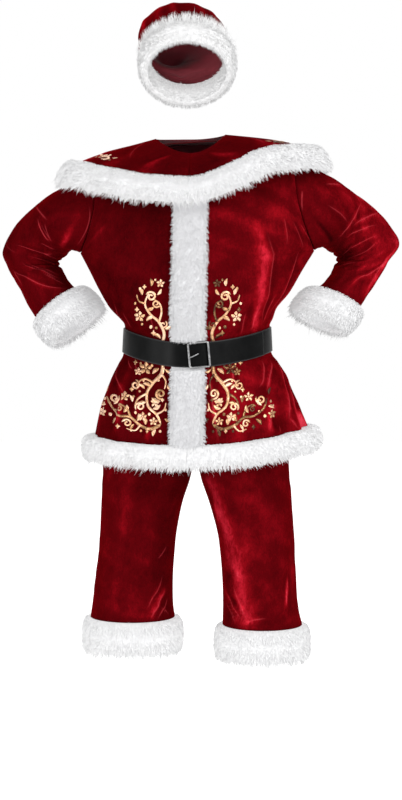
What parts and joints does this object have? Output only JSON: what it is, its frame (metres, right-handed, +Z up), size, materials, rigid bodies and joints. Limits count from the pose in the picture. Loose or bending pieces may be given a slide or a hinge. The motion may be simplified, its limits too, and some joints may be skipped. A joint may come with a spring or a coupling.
{
  "type": "santa suit with belt and hat, worn form",
  "caption": "Fur-trimmed velvet santa suit in its hollow worn form: jacket, shoulder cape, trousers, buckled belt and pompom hat.",
  "frame": {"origin": "middle of the wearer's shoulders at the base of the neck, which carries the suit", "axes": "+Z up the wearer, -Y the way the suit faces, +X to the wearer's left"},
  "size_m": [0.9481, 0.4477, 1.5399],
  "materials": {
    "velvet": "deep burgundy panne velvet with a soft crushed sheen and gold foil scrolls on the jacket fronts",
    "fur": "white long-pile plush fur",
    "belt": "smooth black imitation leather, semi-matt",
    "buckle": "plain silver-grey metal"
  },
  "bodies": {
    "root": {"jacket_back": "velvet", "jacket_front_right": "velvet", "jacket_front_left": "velvet", "jacket_sleeve_right": "velvet", "jacket_sleeve_left": "velvet", "cape_velvet": "velvet", "trouser_leg_right": "velvet", "trouser_leg_left": "velvet", "trouser_waistband": "velvet", "hat_crown": "velvet", "jacket_placket_fur": "fur", "jacket_hem_fur": "fur", "sleeve_cuff_fur_right": "fur", "sleeve_cuff_fur_left": "fur", "cape_fur": "fur", "trouser_cuff_fur_right": "fur", "trouser_cuff_fur_left": "fur", "hat_fur_band": "fur", "hat_pompom": "fur", "belt_strap": "belt", "buckle_frame": "buckle", "buckle_prong": "buckle"}
  },
  "joints": []
}
